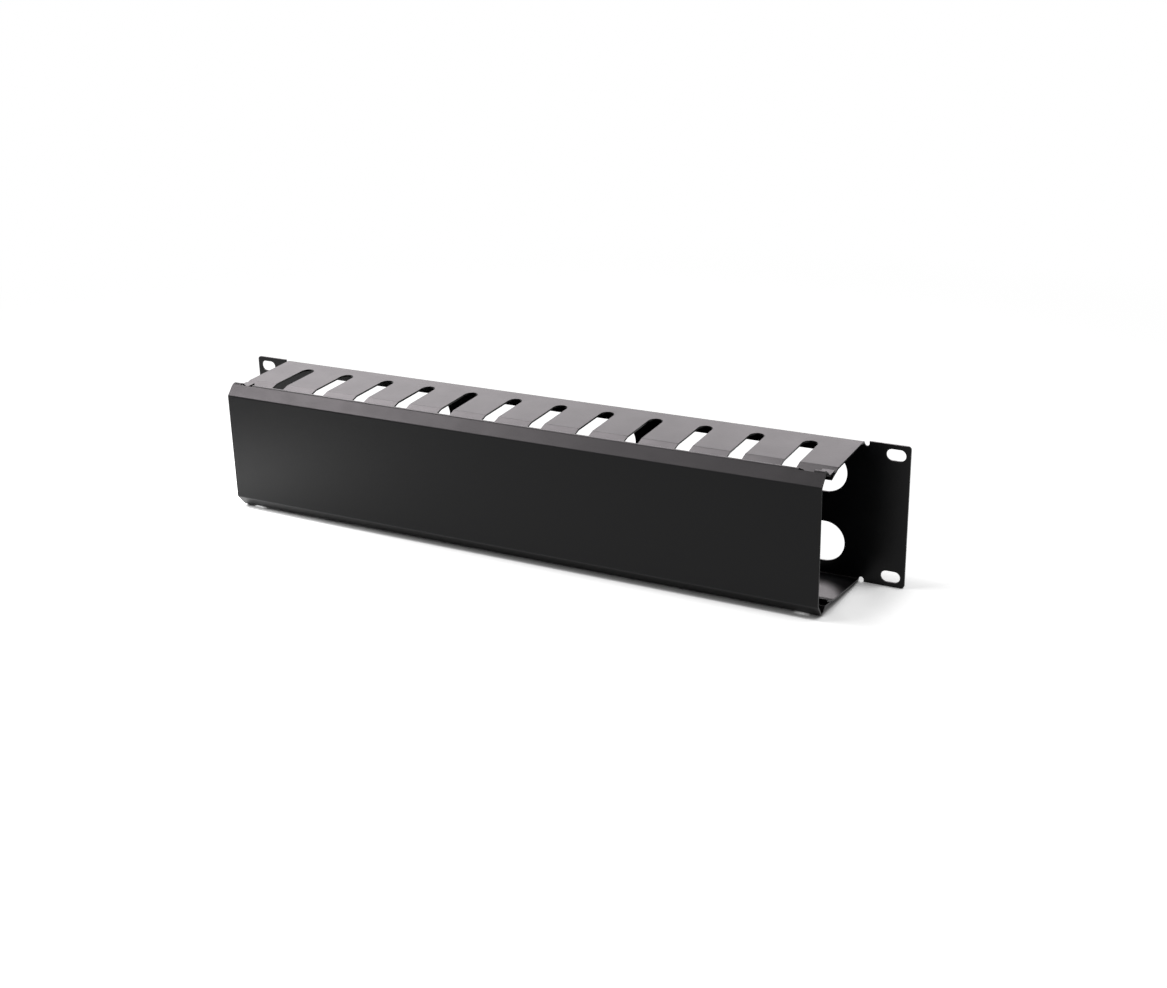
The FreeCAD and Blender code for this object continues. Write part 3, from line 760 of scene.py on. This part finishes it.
# %% Table and room
TABLE_REACH = 8.0  # m from the middle of the table to each side
floor_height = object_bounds()[0][2]
table_mesh = bpy.data.meshes.new("white table")
corners = [(x * TABLE_REACH, y * TABLE_REACH, floor_height)
           for x, y in ((-1, -1), (1, -1), (1, 1), (-1, 1))]
table_mesh.from_pydata(corners, [], [(0, 1, 2, 3)])
table_mesh.materials.append(laminate)
table = bpy.data.objects.new("white_table", table_mesh)
bpy.context.scene.collection.objects.link(table)

world = bpy.data.worlds.new("white room")
bpy.context.scene.world = world
world.use_nodes = True
world.node_tree.nodes.clear()
strength = room_glow(world.node_tree, seen_ray(world.node_tree))
sky = add_node(world.node_tree, "ShaderNodeBackground",
               {"Color": linear("#ffffff"), "Strength": strength}).outputs[0]
add_node(world.node_tree, "ShaderNodeOutputWorld", {"Surface": sky})
print(f"table top {floor_height / MM:.1f} mm below the middle of the rack space")

# %% [markdown]
# ## Camera
#
# The viewer stands a good metre off, a little to the right, and looks down by 20 degrees. Three
# angles say which way the camera points, and its axes are worked out from them: back is the way
# from the manager to the camera, and right and up lean by the small roll.

# %% Camera
camera_data = bpy.data.cameras.new("camera")
camera_data.sensor_width = 36.0
camera_data.lens = 48.685
camera = bpy.data.objects.new("camera", camera_data)
bpy.context.scene.collection.objects.link(camera)
AZIMUTH, ELEVATION, ROLL = (math.radians(a) for a in (29.51, 19.86, -1.192))
PLACE = Vector((0.50093, -0.84376, 0.33100))
back = Vector((math.sin(AZIMUTH) * math.cos(ELEVATION), -math.cos(AZIMUTH) * math.cos(ELEVATION),
               math.sin(ELEVATION)))
level = Vector((math.cos(AZIMUTH), math.sin(AZIMUTH), 0.0))
upright = back.cross(level)
right = level * math.cos(ROLL) + upright * math.sin(ROLL)
up = upright * math.cos(ROLL) - level * math.sin(ROLL)
turn = Matrix((right, up, back)).transposed().to_4x4()
camera.matrix_world = Matrix.Translation(PLACE) @ turn
bpy.context.scene.camera = camera
bpy.context.scene.view_settings.view_transform = "Standard"
print(f"camera {PLACE.length:.2f} m from the middle of the rack space")

# %% [markdown]
# ## Soft boxes
#
# A black coat has hardly any colour to show. It is seen by what it mirrors, so each soft box
# stands where the viewer sees it mirrored in one group of faces: one row of small boxes in the
# bevel and at the left end of the face, one row in the lips of the fingers, a weak box above in
# the crest, and two larger boxes at the back in the top wall. Small boxes in the right spot leave
# the level plain: a matt grey card on the front face, the bevel or the lips shows about its own
# grey, and on the top wall it is some one and a half times as bright. These boxes light the
# painted steel only, through light linking, because they would wash out the table and its shade.
# They lean a trace to magenta, which gives the pale bands a mauve tinge. Two more boxes, plain
# white, light only the table.


# %% Soft boxes
def softbox(name, place, aim, width, height, brightness, receivers, tint=(1.0, 1.0, 1.0)):
    """A rectangular lamp whose face shines at a brightness, where 1 is as white as the room."""
    lamp = bpy.data.lights.new(name, "AREA")
    lamp.shape = "RECTANGLE"
    lamp.size, lamp.size_y = width, height
    lamp.energy = brightness * math.pi * width * height
    lamp.color = tint
    box = bpy.data.objects.new(name, lamp)
    box.location = place
    box.rotation_euler = (Vector(aim) - Vector(place)).to_track_quat("-Z", "Y").to_euler()
    box.visible_camera = False
    box.light_linking.receiver_collection = receivers
    bpy.context.scene.collection.objects.link(box)


def mirror_spot(point, normal, reach):
    """The place, at a reach from a point on the steel, that the viewer sees mirrored there."""
    sight = (PLACE - point).normalized()
    return point + reach * (2.0 * sight.dot(normal) * normal - sight)


def receivers_of(name, things):
    """A collection of what some lamps light."""
    group = bpy.data.collections.new(name)
    for thing in things:
        group.objects.link(thing)
    return group


painted = receivers_of("painted steel", (channel, cover))
table_top = receivers_of("table top", (table,))
print("lamps of their own:", painted.name, "and", table_top.name)

# %% [markdown]
# The two rows follow a line along the steel. For each, the list below gives where that line runs
# (depth and height in mm), by how many degrees the face leans over to the front, how wide and
# high its boxes are in metres, and for each box the place along the line that mirrors it, in mm,
# with its brightness.

# %% Lamps that the steel mirrors
MAUVE = (1.04, 0.96, 1.0)
BOX_REACH = 1.2  # m from the steel to the small boxes
middle = (0.0, -0.03, 0.0)
for name, (y, z), lean, width, height, row in (
        ("bevel box", (-64.5, 40.0), 50.1, 0.30, 0.30,
         ((-220.0, 13.0), (-120.0, 12.0), (-20.0, 6.0), (80.0, 3.5), (180.0, 5.0))),
        ("lip box", (-48.5, 39.3), 19.4, 0.28, 0.45,
         ((-200.0, 5.2), (-110.0, 7.0), (-20.0, 3.2), (70.0, 7.2), (160.0, 5.8)))):
    normal = Vector((0.0, -math.sin(math.radians(lean)), math.cos(math.radians(lean))))
    for along, brightness in row:
        spot = mirror_spot(Vector((along, y, z)) * MM, normal, BOX_REACH)
        softbox(f"{name} at {along:.0f}", spot, middle, width, height, brightness, painted, MAUVE)
for name, place, width, height, brightness in (
        ("box above the crest", (-0.50, -0.05, 1.20), 0.7, 0.5, 2.0),
        ("back left box", (-0.86, 1.07, 0.62), 0.8, 0.6, 2.6),
        ("back right box", (-0.14, 1.37, 0.62), 0.8, 0.6, 3.3)):
    softbox(name, place, middle, width, height, brightness, painted, MAUVE)
print(len(bpy.data.lights), "soft boxes for the steel")

# %% Lamps for the table
softbox("top light on the table", (-0.22, -0.22, 1.25), (0.0, 0.0, floor_height), 0.3, 0.3, 22.0,
        table_top)
left_foot = Vector((-0.285, -0.115, floor_height))
softbox("glow on the table by the left foot", left_foot + Vector((0.0, 0.0, 0.11)), left_foot,
        0.08, 0.08, 19.0, table_top)
print(len(bpy.data.lights), "soft boxes in all")
